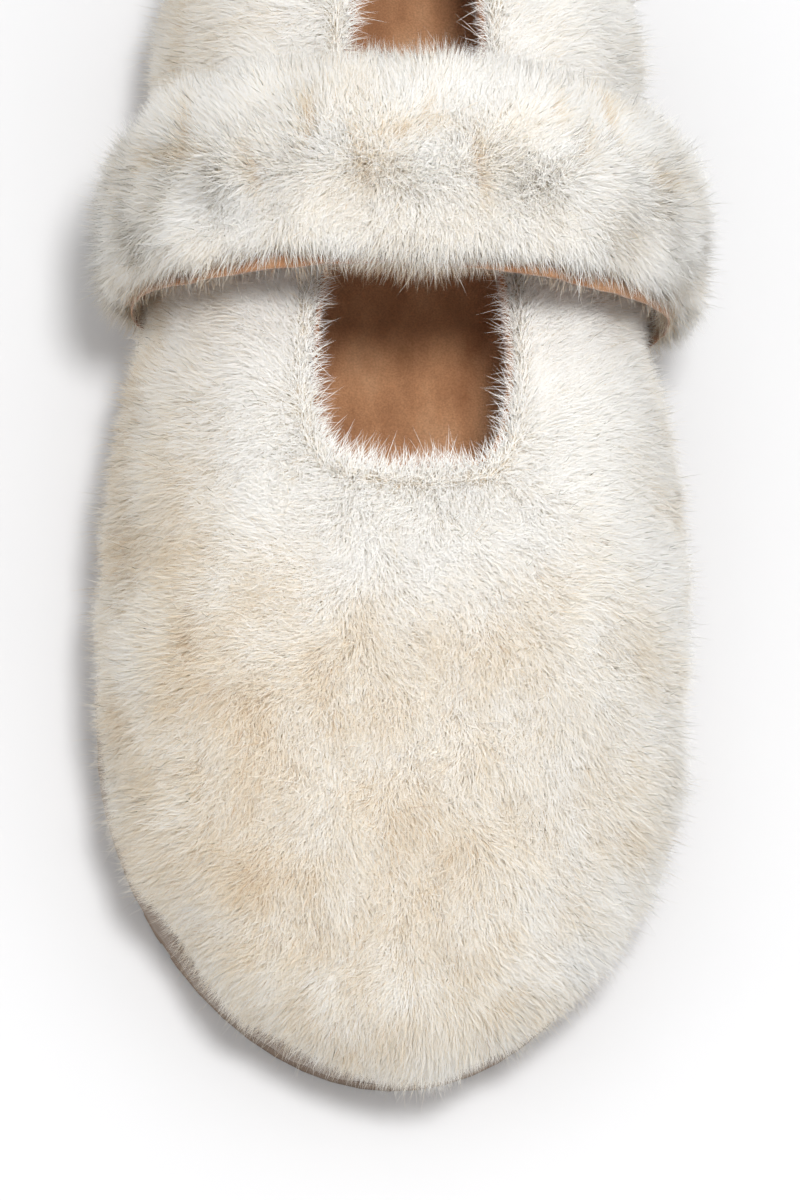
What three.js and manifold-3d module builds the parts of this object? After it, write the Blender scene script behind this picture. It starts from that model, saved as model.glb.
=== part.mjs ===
// Fluffy house slipper, right foot, with a gathered strap over the instep.
// Millimetres, +Z up, toe toward -Y, the outsole rests on Z = 0.
import * as THREE from 'three';
import { mergeVertices } from 'three/addons/utils/BufferGeometryUtils.js';
import Module from 'manifold-3d';

// Overall size
const LENGTH = 254;
const TOE_CAP = 0.29; // part of the length over which the toe rounds in
const HEEL_CAP = 0.17;
const TOE_POWER = 2;
const HEEL_POWER = 2.4;
const TOE_SHIFT = 2.4; // big toe side of the tip
const GAP = 0.3; // between pieces that touch when sewn or glued

// Sole stack, heights from the ground
const OUTSOLE = [0, 5];
const MIDSOLE = [5.3, 17];
const BOARD = [17.3, 19.3];
const FOAM = [19.6, 24.6];
const COVER = [24.9, 26.4];
const FOXING_THICK = 2.2; // suede strip round the sole edge
const TREAD_DEPTH = 1.4;
const TREAD_WIDTH = 3;
const TREAD_PITCH = 9;

// Upper: depth of each layer below the outer face
const FUR = [0, 3];
const STIFFENER = [3.7, 4.4];
const LINING = [4.8, 6];
const UPPER_BASE = 17.3;
const SEAM_ANGLE = 1.85; // side seams, hidden under the strap
const SEAM_GAP = 0.004;

// Topline: the long slot the foot goes in by
const THROAT = 113; // from the toe tip
const SLOT_END = 239;
const SLOT_POWER = 5;
const BINDING_THICK = 1.4;
const BINDING_DEPTH = 6.4;

// Strap
const STRAP_Y = 168 - LENGTH / 2;
const STRAP_HALF_SPAN = 59; // to the middle of its thickness
const STRAP_FOOT = 24;
const STRAP_RISE = 66;
const STRAP_POWER = 2.35;
const STRAP_HALF_DEPTH = 17.5;
const STRAP_END_DEPTH = 0.7; // of the full depth, where the ends are sewn
const STRAP_END_THICK = 0.35;
const STRAP_PINCH = 6.6; // how far the ends draw in to the shoe
const STRAP_WALL = 2.1; // fur cloth at the strap's edges
const STRAP_LINING_HALF = 16.7; // half depths of the layers inside the strap
const STRAP_PAD_HALF = 11;
const ELASTIC_ACROSS = [11.3, 14.8]; // from the middle of the strap
const ELASTIC_LEVEL = [-2.1, -0.9]; // out of the strap, from the middle of its thickness
const TAB_HALF_DEPTH = 8;
const TAB_RISE = [0.13, 0.3]; // part of the way up the upper
const TREADS = [[-101, -11], [49, 109]]; // grooves under the ball and the heel

// A smooth curve through [position, value] stations that never overshoots
function smoothCurve(stations) {
  const last = stations.length - 1;
  const secant = (i) =>
    (stations[i + 1][1] - stations[i][1]) / (stations[i + 1][0] - stations[i][0]);
  const slope = (i) => {
    if (i === 0) return secant(0);
    if (i === last) return secant(last - 1);
    const before = secant(i - 1);
    const after = secant(i);
    return before * after <= 0 ? 0 : (2 * before * after) / (before + after);
  };
  return (position) => {
    const at = Math.min(Math.max(position, stations[0][0]), stations[last][0]);
    let i = 0;
    while (i < last - 1 && at > stations[i + 1][0]) i += 1;
    const span = stations[i + 1][0] - stations[i][0];
    const s = (at - stations[i][0]) / span;
    const rise = stations[i + 1][1] - stations[i][1];
    const bend = slope(i) * span * s * (1 - s) ** 2 - slope(i + 1) * span * s ** 2 * (1 - s);
    return stations[i][1] + rise * s ** 2 * (3 - 2 * s) + bend;
  };
}

// Half width of the upper where it meets the sole, against distance from the toe / length
const halfWidth = smoothCurve([
  [0, 54], [0.12, 55.8], [0.24, 57], [0.36, 57], [0.48, 55],
  [0.58, 51], [0.66, 49], [0.75, 48.4], [0.87, 48], [1, 47.5],
]);
// The rest runs against the angle round the shoe, 0 at the toe and PI at the heel
const slotStation = smoothCurve([[0, 0], [1.53, 0.17], [2.51, 0.84], [Math.PI, 1]]);
const runPower = smoothCurve([[0, 1.9], [0.9, 1.95], [1.6, 2.2], [2.4, 2.4], [Math.PI, 2.6]]);
const risePower = smoothCurve([[0, 2.5], [1.6, 2.3], [2.4, 2.4], [Math.PI, 2.6]]);
const bulge = smoothCurve([
  [0, 7], [0.5, 6], [0.9, 4.5], [1.2, 3.6], [1.5, 3], [1.72, 1.2], [2.08, 1], [2.5, 2.6],
  [Math.PI, 3],
]);
const slotHalfWidth = smoothCurve([
  [THROAT, 22.5], [136, 21.5], [171, 17.5], [209, 15], [SLOT_END, 13.5],
]);
const slotCentre = smoothCurve([[THROAT, 1.2], [180, 1.2], [SLOT_END, 1]]);
const toplineHeight = smoothCurve([[THROAT, 60], [146, 60.5], [196, 61.5], [SLOT_END, 65]]);

const signedPower = (value, power) => Math.sign(value) * Math.abs(value) ** power;

function cap(distance, length, power) {
  if (distance >= length) return 1;
  return (1 - (1 - distance / length) ** power) ** (1 / power);
}

// Angle folded to 0..PI, with the side it came from
function foldAngle(angle) {
  const turned = Math.atan2(Math.sin(angle), Math.cos(angle));
  return { fold: Math.abs(turned), side: turned < 0 ? -1 : 1 };
}

// Where the upper meets the sole, in plan
function outlineAt(angle) {
  const { fold, side } = foldAngle(angle);
  const t = (1 - Math.cos(fold)) / 2;
  const width = halfWidth(t) * cap(t, TOE_CAP, TOE_POWER) * cap(1 - t, HEEL_CAP, HEEL_POWER);
  const shift = TOE_SHIFT * Math.max(0, 1 - t / 0.3) ** 2;
  return new THREE.Vector2(shift + side * width, (t - 0.5) * LENGTH);
}

function offsetOutline(angle, distance) {
  const step = 0.01;
  const along = outlineAt(angle + step).sub(outlineAt(angle - step)).normalize();
  return outlineAt(angle).add(new THREE.Vector2(along.y, -along.x).multiplyScalar(distance));
}

// Half of the slot edge as [length from the middle of the throat, point] pairs
function slotSide() {
  const steps = 400;
  const middle = (THROAT + SLOT_END) / 2;
  const half = (SLOT_END - THROAT) / 2;
  const points = [];
  let length = 0;
  for (let i = 0; i <= steps; i += 1) {
    const angle = (Math.PI * i) / steps;
    const from = middle - half * signedPower(Math.cos(angle), 2 / SLOT_POWER);
    const out = slotHalfWidth(from) * Math.abs(Math.sin(angle)) ** (2 / SLOT_POWER);
    const point = new THREE.Vector2(out, from);
    if (i > 0) length += point.distanceTo(points[i - 1].point);
    points.push({ length, point });
  }
  return points;
}

const SLOT_SIDE = slotSide();

// The slot edge in space, for an angle round the shoe
function slotAt(angle) {
  const { fold, side } = foldAngle(angle);
  const wanted = slotStation(fold) * SLOT_SIDE[SLOT_SIDE.length - 1].length;
  let i = 1;
  while (i < SLOT_SIDE.length - 1 && SLOT_SIDE[i].length < wanted) i += 1;
  const before = SLOT_SIDE[i - 1];
  const share = (wanted - before.length) / (SLOT_SIDE[i].length - before.length);
  const spot = before.point.clone().lerp(SLOT_SIDE[i].point, share);
  const x = slotCentre(spot.y) + side * spot.x;
  return new THREE.Vector3(x, spot.y - LENGTH / 2, toplineHeight(spot.y));
}

// Outer face of the upper: up runs from 0 at the sole to 1 at the slot edge
function upperFace(angle, up) {
  const { fold } = foldAngle(angle);
  const foot = outlineAt(angle);
  const edge = slotAt(angle);
  const turn = (up * Math.PI) / 2;
  const run = Math.max(Math.cos(turn), 0) ** (2 / runPower(fold));
  const rise = Math.sin(turn) ** (2 / risePower(fold));
  const out = new THREE.Vector2(foot.x - edge.x, foot.y - edge.y);
  const fullness = bulge(fold) * (0.72 + 0.28 * Math.sin(angle));
  const swell = (fullness * Math.sin(Math.PI * rise ** 0.65) ** 2) / out.length();
  const x = edge.x + out.x * (run + swell);
  const y = edge.y + out.y * (run + swell);
  return new THREE.Vector3(x, y, UPPER_BASE + (edge.z - UPPER_BASE) * rise);
}

function upperPoint(angle, up, depth) {
  const step = 0.012;
  const low = Math.max(up - step, 0);
  const high = Math.min(up + step, 1);
  const along = upperFace(angle + step, up).sub(upperFace(angle - step, up));
  const rising = upperFace(angle, high).sub(upperFace(angle, low));
  const normal = along.cross(rising).normalize();
  if (up === 0) normal.setZ(0).normalize();
  return upperFace(angle, up).addScaledVector(normal, -depth);
}

// One closed body from corner positions and triangles, turned to face out
function closedBody(corners, triangles) {
  let volume = 0;
  for (const [a, b, c] of triangles) {
    volume += corners[a].dot(corners[b].clone().cross(corners[c]));
  }
  const faces = volume < 0 ? triangles.map(([a, b, c]) => [a, c, b]) : triangles;
  const geometry = new THREE.BufferGeometry().setFromPoints(corners);
  geometry.setIndex(faces.flat());
  geometry.computeVertexNormals();
  return geometry;
}

// A section carried through count + 1 places, capped at its ends or closed into a ring
function sweep(section, place, count, isRing = false) {
  const outline = THREE.ShapeUtils.isClockWise(section) ? [...section].reverse() : section;
  const size = outline.length;
  const places = isRing ? count : count + 1;
  const corners = [];
  const triangles = [];
  for (let i = 0; i < places; i += 1) {
    for (const point of outline) corners.push(place(i / count, point));
  }
  for (let i = 0; i < count; i += 1) {
    const here = i * size;
    const next = ((i + 1) % places) * size;
    for (let j = 0; j < size; j += 1) {
      const k = (j + 1) % size;
      triangles.push([here + j, here + k, next + k]);
      triangles.push([here + j, next + k, next + j]);
    }
  }
  if (!isRing) {
    const end = count * size;
    for (const [a, b, c] of THREE.ShapeUtils.triangulateShape(outline, [])) {
      triangles.push([a, c, b]);
      triangles.push([a + end, b + end, c + end]);
    }
  }
  return closedBody(corners, triangles);
}

// A panel of the upper between two angles, two heights and two depths
function panel(angles, ups, depths, columns, rows) {
  const corners = [];
  const triangles = [];
  const index = (layer, i, j) => (layer * (columns + 1) + i) * (rows + 1) + j;
  const quad = (a, b, c, d) => triangles.push([a, b, c], [a, c, d]);
  for (const depth of depths) {
    for (let i = 0; i <= columns; i += 1) {
      const angle = angles[0] + ((angles[1] - angles[0]) * i) / columns;
      for (let j = 0; j <= rows; j += 1) {
        corners.push(upperPoint(angle, ups[0] + ((ups[1] - ups[0]) * j) / rows, depth));
      }
    }
  }
  for (let i = 0; i < columns; i += 1) {
    for (let j = 0; j < rows; j += 1) {
      quad(index(0, i, j), index(0, i + 1, j), index(0, i + 1, j + 1), index(0, i, j + 1));
      quad(index(1, i, j), index(1, i, j + 1), index(1, i + 1, j + 1), index(1, i + 1, j));
    }
    quad(index(0, i, 0), index(1, i, 0), index(1, i + 1, 0), index(0, i + 1, 0));
    quad(index(0, i, rows), index(0, i + 1, rows), index(1, i + 1, rows), index(1, i, rows));
  }
  for (let j = 0; j < rows; j += 1) {
    quad(index(0, 0, j), index(0, 0, j + 1), index(1, 0, j + 1), index(1, 0, j));
    quad(index(0, columns, j), index(1, columns, j),
      index(1, columns, j + 1), index(0, columns, j + 1));
  }
  return closedBody(corners, triangles);
}

// A level plate with the outline of the sole, grown or shrunk by offset
function plate(offset, [bottom, top], count = 80) {
  const section = [];
  for (let i = 0; i < count; i += 1) {
    section.push(offsetOutline((2 * Math.PI * i) / count, offset));
  }
  const place = (s, point) => new THREE.Vector3(point.x, point.y, bottom + (top - bottom) * s);
  return sweep(section, place, 1);
}

// Transverse tread grooves under the ball and the heel
async function cutTread(geometry) {
  const wasm = await Module();
  wasm.setup();
  const bare = geometry.clone();
  bare.deleteAttribute('normal');
  const merged = mergeVertices(bare);
  let solid = new wasm.Manifold(new wasm.Mesh({
    numProp: 3,
    vertProperties: new Float32Array(merged.attributes.position.array),
    triVerts: new Uint32Array(merged.index.array),
  }));
  const groove = wasm.Manifold.cube([LENGTH, TREAD_WIDTH, 2 * TREAD_DEPTH], true);
  for (const [from, to] of TREADS) {
    for (let y = from; y <= to; y += TREAD_PITCH) {
      solid = solid.subtract(groove.translate([0, y, 0]));
    }
  }
  const mesh = solid.getMesh();
  const cut = new THREE.BufferGeometry();
  cut.setAttribute('position', new THREE.BufferAttribute(new Float32Array(mesh.vertProperties), 3));
  cut.setIndex([...mesh.triVerts]);
  cut.computeVertexNormals();
  return cut;
}

// The suede strip round the edge of the sole
function foxing() {
  const section = [
    new THREE.Vector2(GAP, MIDSOLE[0]),
    new THREE.Vector2(GAP + FOXING_THICK, MIDSOLE[0]),
    new THREE.Vector2(GAP + FOXING_THICK, MIDSOLE[1] - 0.4),
    new THREE.Vector2(GAP + FOXING_THICK - 0.4, MIDSOLE[1]),
    new THREE.Vector2(GAP, MIDSOLE[1]),
  ];
  const place = (s, point) => {
    const spot = offsetOutline(2 * Math.PI * s, point.x);
    return new THREE.Vector3(spot.x, spot.y, point.y);
  };
  return sweep(section, place, 80, true);
}

// The folded suede strip that closes the slot edge between fur and lining
function binding() {
  const half = BINDING_THICK / 2;
  const section = [
    new THREE.Vector2(-half, -BINDING_DEPTH),
    new THREE.Vector2(half, -BINDING_DEPTH),
    new THREE.Vector2(half, -0.4),
    new THREE.Vector2(half - 0.4, 0),
    new THREE.Vector2(-half, 0),
  ];
  const place = (s, point) => {
    const angle = 2 * Math.PI * s;
    const along = slotAt(angle + 0.02).sub(slotAt(angle - 0.02)).setZ(0).normalize();
    const inward = new THREE.Vector3(-along.y, along.x, 0);
    const spot = slotAt(angle).addScaledVector(inward, GAP + half - point.x);
    return spot.add(new THREE.Vector3(0, 0, point.y));
  };
  return sweep(section, place, 100, true);
}

// A strap layer: its section is [front to back, out of the strap] in millimetres
function strapLayer(section, count = 32) {
  const place = (s, point) => {
    const angle = Math.PI * s;
    const span = (a) => {
      const rise = Math.max(Math.sin(a), 0) ** (2 / STRAP_POWER);
      const half = STRAP_HALF_SPAN - STRAP_PINCH * (1 - rise) ** 5;
      const x = half * signedPower(Math.cos(a), 2 / STRAP_POWER);
      return new THREE.Vector3(x, STRAP_Y, STRAP_FOOT + STRAP_RISE * rise);
    };
    const nearEnd = Math.abs(Math.cos(angle)) ** 5;
    const depth = 1 - (1 - STRAP_END_DEPTH) * nearEnd;
    const thick = 1 - (1 - STRAP_END_THICK) * nearEnd;
    const back = span(Math.max(angle - 0.01, 0));
    const along = span(Math.min(angle + 0.01, Math.PI)).sub(back).normalize();
    const out = new THREE.Vector3(along.z, 0, -along.x);
    const spot = span(angle).addScaledVector(out, point.y * thick);
    return spot.add(new THREE.Vector3(0, point.x * depth, 0));
  };
  return sweep(section, place, count);
}

// Crown of the strap between two half depths, as a half superellipse
function crownPoints(halfDepth, height, count) {
  const points = [];
  for (let i = 0; i <= count; i += 1) {
    const angle = (Math.PI * i) / count;
    const across = halfDepth * signedPower(Math.cos(angle), 0.8);
    points.push(new THREE.Vector2(across, height * Math.sin(angle) ** 0.8));
  }
  return points;
}

function strapFur() {
  const outer = crownPoints(STRAP_HALF_DEPTH, 5, 12);
  const inside = STRAP_HALF_DEPTH - STRAP_WALL;
  const inner = crownPoints(inside, 3, 8).reverse();
  const foot = (x) => new THREE.Vector2(x, -2.3);
  const frontFoot = [foot(-STRAP_HALF_DEPTH), foot(-inside)];
  const rearFoot = [foot(inside), foot(STRAP_HALF_DEPTH)];
  return strapLayer([...outer, ...frontFoot, ...inner, ...rearFoot]);
}

function strapPad() {
  const crown = crownPoints(STRAP_PAD_HALF, 2.6, 8);
  const base = [-STRAP_PAD_HALF, STRAP_PAD_HALF].map((x) => new THREE.Vector2(x, -2.2));
  return strapLayer([...crown, ...base]);
}

function strapStrip([from, to], [bottom, top]) {
  return strapLayer([
    new THREE.Vector2(from, bottom),
    new THREE.Vector2(to, bottom),
    new THREE.Vector2(to, top),
    new THREE.Vector2(from, top),
  ]);
}

// The sewn suede tab each strap end is fixed to
function strapTab(side) {
  const middle = Math.acos(-STRAP_Y / (LENGTH / 2));
  const spread = TAB_HALF_DEPTH / (LENGTH / 2);
  const angles = [side * middle - spread, side * middle + spread];
  return panel(angles, TAB_RISE, [-1, -0.3], 6, 4);
}

const group = new THREE.Group();

function addPiece(name, geometry, color, roughness) {
  const material = new THREE.MeshStandardMaterial({ color, roughness, metalness: 0 });
  const mesh = new THREE.Mesh(geometry, material);
  mesh.name = name;
  group.add(mesh);
}

const CREAM = 0xe3ded2;
const PALE = 0xebe7de;
const SUEDE = 0xa67c5c;
const TAUPE = 0xa6937f;
const SEAM = [SEAM_ANGLE - SEAM_GAP, SEAM_ANGLE + SEAM_GAP];
const HEEL_SEAM = [Math.PI - SEAM_GAP, Math.PI + SEAM_GAP];
const RIGHT_QUARTER = [SEAM[1], HEEL_SEAM[0]];
const LEFT_QUARTER = [HEEL_SEAM[1], 2 * Math.PI - SEAM[1]];
const VAMP = [-SEAM[0], SEAM[0]];

addPiece('outsole', await cutTread(plate(GAP + FOXING_THICK, OUTSOLE)), 0x8a7768, 0.85);
addPiece('midsole', plate(0, MIDSOLE), 0xd9d2c6, 0.7);
addPiece('sole_wrap', foxing(), TAUPE, 0.9);
addPiece('insole_board', plate(-6.9, BOARD), 0xb9a88c, 0.9);
addPiece('footbed_foam', plate(-8.2, FOAM), 0xe6dcc4, 0.9);
addPiece('footbed_cover', plate(-9.8, COVER), SUEDE, 0.9);

addPiece('vamp_fur', panel(VAMP, [0, 1], FUR, 36, 10), CREAM, 0.9);
addPiece('quarter_fur_right', panel(RIGHT_QUARTER, [0, 1], FUR, 16, 9), PALE, 0.9);
addPiece('quarter_fur_left', panel(LEFT_QUARTER, [0, 1], FUR, 16, 9), CREAM, 0.9);
addPiece('toe_puff', panel([-0.9, 0.9], [0.06, 0.5], STIFFENER, 18, 6), 0xd8c7a4, 0.8);
addPiece('heel_counter', panel([2.5, 3.783], [0.06, 0.6], STIFFENER, 16, 6), 0xd8c7a4, 0.8);
addPiece('vamp_lining', panel(VAMP, [0, 1], LINING, 36, 10), SUEDE, 0.9);
addPiece('quarter_lining_right', panel(RIGHT_QUARTER, [0, 1], LINING, 16, 9), SUEDE, 0.9);
addPiece('quarter_lining_left', panel(LEFT_QUARTER, [0, 1], LINING, 16, 9), SUEDE, 0.9);
addPiece('topline_binding', binding(), SUEDE, 0.9);

addPiece('strap_fur', strapFur(), PALE, 0.9);
const liningAcross = [-STRAP_LINING_HALF, STRAP_LINING_HALF];
addPiece('strap_lining', strapStrip(liningAcross, [-3.6, -2.6]), SUEDE, 0.9);
addPiece('strap_padding', strapPad(), 0xf2efe8, 0.9);
const frontAcross = ELASTIC_ACROSS.map((x) => -x).reverse();
addPiece('strap_elastic_front', strapStrip(frontAcross, ELASTIC_LEVEL), 0xf0ece2, 0.8);
addPiece('strap_elastic_rear', strapStrip(ELASTIC_ACROSS, ELASTIC_LEVEL), 0xf0ece2, 0.8);
addPiece('strap_anchor_right', strapTab(1), SUEDE, 0.9);
addPiece('strap_anchor_left', strapTab(-1), SUEDE, 0.9);

export default group;
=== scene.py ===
"""Fluffy house slipper: combed faux fur on cloth panels, a gathered strap, suede lining and sole."""
import math
import bpy
import numpy as np
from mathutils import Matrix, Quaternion, Vector


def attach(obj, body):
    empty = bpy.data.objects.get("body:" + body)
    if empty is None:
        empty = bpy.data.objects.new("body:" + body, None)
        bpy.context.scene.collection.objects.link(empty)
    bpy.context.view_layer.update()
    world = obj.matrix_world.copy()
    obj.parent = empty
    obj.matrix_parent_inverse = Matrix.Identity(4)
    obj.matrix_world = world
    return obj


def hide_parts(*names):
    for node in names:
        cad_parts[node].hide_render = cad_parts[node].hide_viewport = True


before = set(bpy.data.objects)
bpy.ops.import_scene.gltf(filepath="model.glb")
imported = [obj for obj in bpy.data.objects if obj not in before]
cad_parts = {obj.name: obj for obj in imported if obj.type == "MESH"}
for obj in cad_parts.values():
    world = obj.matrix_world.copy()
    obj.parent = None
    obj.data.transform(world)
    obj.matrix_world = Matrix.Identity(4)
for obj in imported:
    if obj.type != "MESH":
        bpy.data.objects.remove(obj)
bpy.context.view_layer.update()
MM = 0.001

# ---------------------------------------------------------------- shape rules, in millimetres
LENGTH = 254
TOE_CAP, HEEL_CAP = 0.29, 0.17
TOE_POWER, HEEL_POWER = 2, 2.4
TOE_SHIFT = 2.4
UPPER_BASE = 17.3
CLOTH_DEPTHS = (0, 1.6)  # under the outer face, before the lumps
LINING_DEPTHS = (4.8, 6.0)
PILE_DEPTH = 1.2  # pile grows from here
FOOTBED_INSET, FOOTBED_LEVEL = 9.9, 24.9
SEAM_ANGLE = 1.85
THROAT, SLOT_END = 113, 239
SLOT_POWER = 5
STRAP_Y = 168 - LENGTH / 2
STRAP_HALF_SPAN = 59
STRAP_PINCH = 6.6
STRAP_FOOT, STRAP_RISE = 24, 66
STRAP_POWER = 2.35
STRAP_HALF_DEPTH = 17.5
STRAP_CLOTH = 1.0
STRAP_WRAP = (-28, 208)  # degrees round the section: past both edges, open underneath
FACING_FRONT, FACING_REAR = 21.6, 17.6  # the lining shows past the strap's front edge
STRAP_HEART = np.array([0, STRAP_Y, 40])


def smooth_curve(stations):
    """A curve through (position, value) stations that never overshoots."""
    xs, ys = np.array(stations, float).T
    secant = np.diff(ys) / np.diff(xs)
    slope = np.concatenate([secant[:1], np.zeros(len(xs) - 2), secant[-1:]])
    before, after = secant[:-1], secant[1:]
    same = before * after > 0
    slope[1:-1][same] = 2 * before[same] * after[same] / (before[same] + after[same])

    def at(position):
        x = np.clip(position, xs[0], xs[-1])
        i = np.clip(np.searchsorted(xs, x) - 1, 0, len(xs) - 2)
        span = xs[i + 1] - xs[i]
        s = (x - xs[i]) / span
        bend = slope[i] * span * s * (1 - s) ** 2 - slope[i + 1] * span * s**2 * (1 - s)
        return ys[i] + (ys[i + 1] - ys[i]) * s**2 * (3 - 2 * s) + bend

    return at


half_width = smooth_curve([
    (0, 54), (0.12, 55.8), (0.24, 57), (0.36, 57), (0.48, 55),
    (0.58, 51), (0.66, 49), (0.75, 48.4), (0.87, 48), (1, 47.5)])
slot_station = smooth_curve([(0, 0), (1.53, 0.17), (2.51, 0.84), (math.pi, 1)])
run_power = smooth_curve([(0, 1.9), (0.9, 1.95), (1.6, 2.2), (2.4, 2.4), (math.pi, 2.6)])
rise_power = smooth_curve([(0, 2.5), (1.6, 2.3), (2.4, 2.4), (math.pi, 2.6)])
bulge = smooth_curve([
    (0, 7), (0.5, 6), (0.9, 4.5), (1.2, 3.6), (1.5, 3), (1.72, 1.2), (2.08, 1), (2.5, 2.6),
    (math.pi, 3)])
slot_half_width = smooth_curve([
    (THROAT, 22.5), (136, 21.5), (171, 17.5), (209, 15), (SLOT_END, 13.5)])
slot_centre = smooth_curve([(THROAT, 1.2), (180, 1.2), (SLOT_END, 1)])
topline_height = smooth_curve([(THROAT, 60), (146, 60.5), (196, 61.5), (SLOT_END, 65)])


def signed_power(value, power):
    return np.sign(value) * np.abs(value) ** power


def unit(v):
    return v / np.maximum(np.linalg.norm(v, axis=-1, keepdims=True), 1e-9)


def smooth_step(value):
    value = np.clip(value, 0, 1)
    return value * value * (3 - 2 * value)


def cap(distance, length, power):
    near = np.clip(1 - distance / length, 0, 1)
    return (1 - near**power) ** (1 / power)


def fold_angle(angle):
    turned = np.arctan2(np.sin(angle), np.cos(angle))
    return np.abs(turned), np.where(turned < 0, -1, 1)


def outline_at(angle):
    """Where the upper meets the sole, in plan. Angle 0 is the toe and pi the heel."""
    fold, side = fold_angle(angle)
    t = (1 - np.cos(fold)) / 2
    width = half_width(t) * cap(t, TOE_CAP, TOE_POWER) * cap(1 - t, HEEL_CAP, HEEL_POWER)
    shift = TOE_SHIFT * np.clip(1 - t / 0.3, 0, None) ** 2
    return np.stack([shift + side * width, (t - 0.5) * LENGTH], -1)


def offset_outline(angle, distance):
    along = unit(outline_at(angle + 0.01) - outline_at(angle - 0.01))
    out = np.stack([along[..., 1], -along[..., 0]], -1)
    return outline_at(angle) + out * np.asarray(distance)[..., None]


def slot_side():
    """Half of the slot edge: length along it from the middle of the throat, x and place."""
    turn = np.linspace(0, math.pi, 401)
    middle, half = (THROAT + SLOT_END) / 2, (SLOT_END - THROAT) / 2
    place = middle - half * signed_power(np.cos(turn), 2 / SLOT_POWER)
    out = slot_half_width(place) * np.abs(np.sin(turn)) ** (2 / SLOT_POWER)
    steps = np.hypot(np.diff(out), np.diff(place))
    return np.concatenate([[0], np.cumsum(steps)]), out, place


SLOT_RUN, SLOT_OUT, SLOT_PLACE = slot_side()


def slot_at(angle):
    """The slot edge in space, for an angle round the shoe."""
    fold, side = fold_angle(angle)
    wanted = slot_station(fold) * SLOT_RUN[-1]
    out = np.interp(wanted, SLOT_RUN, SLOT_OUT)
    place = np.interp(wanted, SLOT_RUN, SLOT_PLACE)
    x = slot_centre(place) + side * out
    return np.stack([x, place - LENGTH / 2, topline_height(place)], -1)


def upper_face(angle, up):
    """Outer face of the upper: up runs from 0 at the sole to 1 at the slot edge."""
    fold, _ = fold_angle(angle)
    foot, edge = outline_at(angle), slot_at(angle)
    turn = up * math.pi / 2
    run = np.clip(np.cos(turn), 0, 1) ** (2 / run_power(fold))
    rise = np.sin(turn) ** (2 / rise_power(fold))
    out = foot - edge[..., :2]
    fullness = bulge(fold) * (0.72 + 0.28 * np.sin(angle))
    swell = fullness * np.sin(math.pi * rise**0.65) ** 2 / np.linalg.norm(out, axis=-1)
    plan = edge[..., :2] + out * (run + swell)[..., None]
    z = UPPER_BASE + (edge[..., 2] - UPPER_BASE) * rise
    return np.concatenate([plan, z[..., None]], -1)


def upper_point(angle, up, depth):
    step = 0.012
    along = upper_face(angle + step, up) - upper_face(angle - step, up)
    rising = upper_face(angle, np.minimum(up + step, 1)) - upper_face(angle, np.maximum(up - step, 0))
    normal = unit(np.cross(along, rising))
    return upper_face(angle, up) - normal * np.asarray(depth)[..., None]


# ---------------------------------------------------------------- smooth random fields
def waves(seed, longest, shortest, count=28):
    """A smooth random field of about unit size, with features between two lengths in mm."""
    rng = np.random.default_rng(seed)
    direction = unit(rng.normal(size=(count, 3)))
    length = np.exp(rng.uniform(math.log(shortest), math.log(longest), count))
    phase = rng.uniform(0, 2 * math.pi, count)
    k = direction * (2 * math.pi / length)[:, None]

    def at(points):
        flat = points.reshape(-1, 3)
        total = np.zeros(len(flat))
        for wave, start in zip(k, phase):
            total += np.sin(flat @ wave + start)
        return (total / math.sqrt(count / 2)).reshape(points.shape[:-1])

    return at


# ---------------------------------------------------------------- materials
def srgb(r, g, b):
    def linear(c):
        c /= 255
        return c / 12.92 if c <= 0.04045 else ((c + 0.055) / 1.055) ** 2.4
    return linear(r), linear(g), linear(b), 1


def new_material(name, roughness=0.9, specular=0.3):
    material = bpy.data.materials.new(name)
    material.use_nodes = True
    shader = material.node_tree.nodes["Principled BSDF"]
    shader.inputs["Roughness"].default_value = roughness
    shader.inputs["Specular IOR Level"].default_value = specular
    return material, material.node_tree, shader


def add_noise(tree, scale, detail=3, stretch=(1, 1, 1)):
    """Noise over the piece's own coordinates. Scale is features per metre."""
    place = tree.nodes.new("ShaderNodeTexCoord")
    squeeze = tree.nodes.new("ShaderNodeMapping")
    squeeze.inputs["Scale"].default_value = stretch
    noise = tree.nodes.new("ShaderNodeTexNoise")
    noise.inputs["Scale"].default_value = scale
    noise.inputs["Detail"].default_value = detail
    tree.links.new(place.outputs["Object"], squeeze.inputs["Vector"])
    tree.links.new(squeeze.outputs["Vector"], noise.inputs["Vector"])
    return noise.outputs["Fac"]


def add_ramp(tree, factor, stops):
    ramp = tree.nodes.new("ShaderNodeValToRGB")
    points = ramp.color_ramp.elements
    while len(points) < len(stops):
        points.new(0.5)
    for point, (position, color) in zip(points, stops):
        point.position = position
        point.color = color
    tree.links.new(factor, ramp.inputs["Fac"])
    return ramp.outputs["Color"]


def add_mix(tree, factor, first, second, blend="MIX"):
    mix = tree.nodes.new("ShaderNodeMix")
    mix.data_type = "RGBA"
    mix.blend_type = blend
    if isinstance(factor, float):
        mix.inputs["Factor"].default_value = factor
    else:
        tree.links.new(factor, mix.inputs["Factor"])
    tree.links.new(first, mix.inputs["A"])
    tree.links.new(second, mix.inputs["B"])
    return mix.outputs["Result"]


def add_bump(tree, shader, height, strength, distance):
    bump = tree.nodes.new("ShaderNodeBump")
    bump.inputs["Strength"].default_value = strength
    bump.inputs["Distance"].default_value = distance
    tree.links.new(height, bump.inputs["Height"])
    tree.links.new(bump.outputs["Normal"], shader.inputs["Normal"])


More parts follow.
